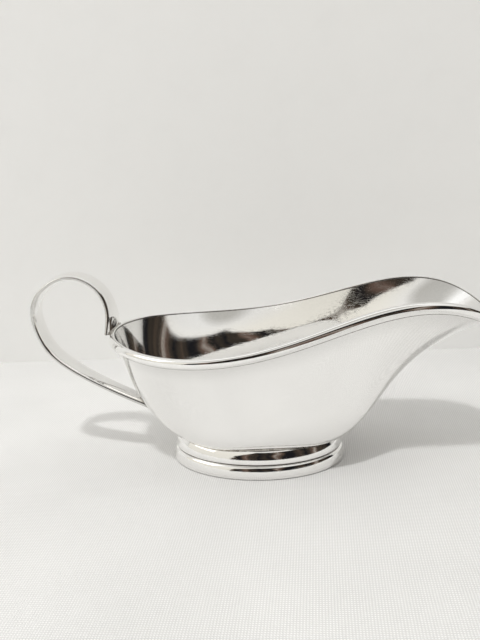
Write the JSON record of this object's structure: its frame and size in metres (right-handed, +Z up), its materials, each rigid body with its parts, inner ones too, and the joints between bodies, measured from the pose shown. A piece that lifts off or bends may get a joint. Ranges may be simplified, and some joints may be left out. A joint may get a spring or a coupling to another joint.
{
  "type": "gravy boat",
  "caption": "Footed metal sauce boat with a long pouring lip, a moulded rim, an oval foot of two rounded bands and a looped strap handle.",
  "frame": {"origin": "centre of the oval foot on the resting plane", "axes": "+X towards the tip of the pouring lip with the handle at -X, +Y across the boat, +Z up out of the bowl"},
  "size_m": [0.2048, 0.0828, 0.0877],
  "materials": {
    "bowl_plate": "polished silver plate",
    "rim_plate": "polished silver plate",
    "foot_plate": "polished silver plate",
    "handle_plate": "polished silver plate",
    "solder": "plated solder, slightly duller"
  },
  "bodies": {
    "root": {"bowl": "bowl_plate", "rim_wire": "rim_plate", "foot": "foot_plate", "handle": "handle_plate", "foot_seam": "solder", "handle_seam_upper": "solder", "handle_seam_lower": "solder"}
  },
  "joints": []
}
